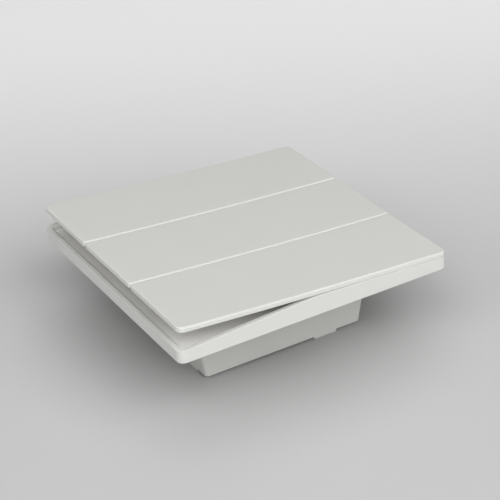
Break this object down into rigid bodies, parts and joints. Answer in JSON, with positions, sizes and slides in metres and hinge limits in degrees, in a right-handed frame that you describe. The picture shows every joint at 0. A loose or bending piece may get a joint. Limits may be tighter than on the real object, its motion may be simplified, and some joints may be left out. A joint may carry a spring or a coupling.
{
  "type": "pushbutton dimmer switch",
  "caption": "Square wall dimmer switch with flat strip keys that rock side by side on a ridged tray, and a drafted rear box with the electronics and wire terminals.",
  "frame": {"origin": "on the surface that the rear box's lugs rest on, under the middle of the plate", "axes": "+Z out of the wall through the keys, +X along the keys towards the end that rests on the rim, +Y across the keys towards the wire terminals"},
  "size_m": [0.086, 0.086, 0.0329],
  "materials": {
    "key_plastic": "fine matt moulded surface",
    "tray_plastic": "fine matt moulded surface",
    "box_plastic": "matt moulded surface",
    "plunger_plastic": "smooth bearing plastic",
    "switch_plastic": "matt black moulding",
    "spring_steel": "drawn wire",
    "screw_steel": "zinc plated",
    "board_laminate": "green lacquered laminate",
    "terminal_plastic": "matt dark grey moulding",
    "terminal_brass": "machined",
    "spreader_metal": "bare sheet",
    "capacitor_resin": "yellow moulded case",
    "choke_winding": "enamelled copper",
    "fuse_ceramic": "glazed"
  },
  "bodies": {
    "plate": {"base_tray": "tray_plastic", "rear_box": "box_plastic", "switch_housing_front": "switch_plastic", "switch_housing_middle": "switch_plastic", "switch_housing_back": "switch_plastic", "control_chip": "switch_plastic", "power_transistors": "switch_plastic", "return_spring_front": "spring_steel", "return_spring_middle": "spring_steel", "return_spring_back": "spring_steel", "case_screws": "screw_steel", "terminal_screws": "screw_steel", "main_board": "board_laminate", "terminal_block": "terminal_plastic", "terminal_clamps": "terminal_brass", "heat_spreader": "spreader_metal", "electrolytic_capacitor": "spreader_metal", "film_capacitor": "capacitor_resin", "filter_choke": "choke_winding", "fuse": "fuse_ceramic"},
    "key_front": {"key_front": "key_plastic"},
    "plunger_front": {"plunger_front": "plunger_plastic"},
    "key_middle": {"key_middle": "key_plastic"},
    "plunger_middle": {"plunger_middle": "plunger_plastic"},
    "key_back": {"key_back": "key_plastic"},
    "plunger_back": {"plunger_back": "plunger_plastic"}
  },
  "joints": [
    {"name": "key_front_rock", "type": "hinge", "parent": "plate", "child": "key_front", "pos_m": [0, 0, 0.0264], "axis": [0, -1, 0], "range_deg": [0, 7.5], "stiffness_Nm_per_rad": 0.05, "springref_deg": -14.32},
    {"name": "key_middle_rock", "type": "hinge", "parent": "plate", "child": "key_middle", "pos_m": [0, 0, 0.0264], "axis": [0, -1, 0], "range_deg": [0, 7.5], "stiffness_Nm_per_rad": 0.05, "springref_deg": -14.32},
    {"name": "key_back_rock", "type": "hinge", "parent": "plate", "child": "key_back", "pos_m": [0, 0, 0.0264], "axis": [0, -1, 0], "range_deg": [0, 7.5], "stiffness_Nm_per_rad": 0.05, "springref_deg": -14.32},
    {"name": "plunger_front_stroke", "type": "slide", "parent": "plate", "child": "plunger_front", "axis": [0, 0, -1], "range_m": [0, 0.0021], "deforming": ["return_spring_front"]},
    {"name": "plunger_middle_stroke", "type": "slide", "parent": "plate", "child": "plunger_middle", "axis": [0, 0, -1], "range_m": [0, 0.0021], "deforming": ["return_spring_middle"]},
    {"name": "plunger_back_stroke", "type": "slide", "parent": "plate", "child": "plunger_back", "axis": [0, 0, -1], "range_m": [0, 0.0021], "deforming": ["return_spring_back"]}
  ],
  "couplings": [
    {"joint": "plunger_front_stroke", "follows": "key_front_rock", "m_per_rad": 0.016},
    {"joint": "plunger_middle_stroke", "follows": "key_middle_rock", "m_per_rad": 0.016},
    {"joint": "plunger_back_stroke", "follows": "key_back_rock", "m_per_rad": 0.016}
  ]
}
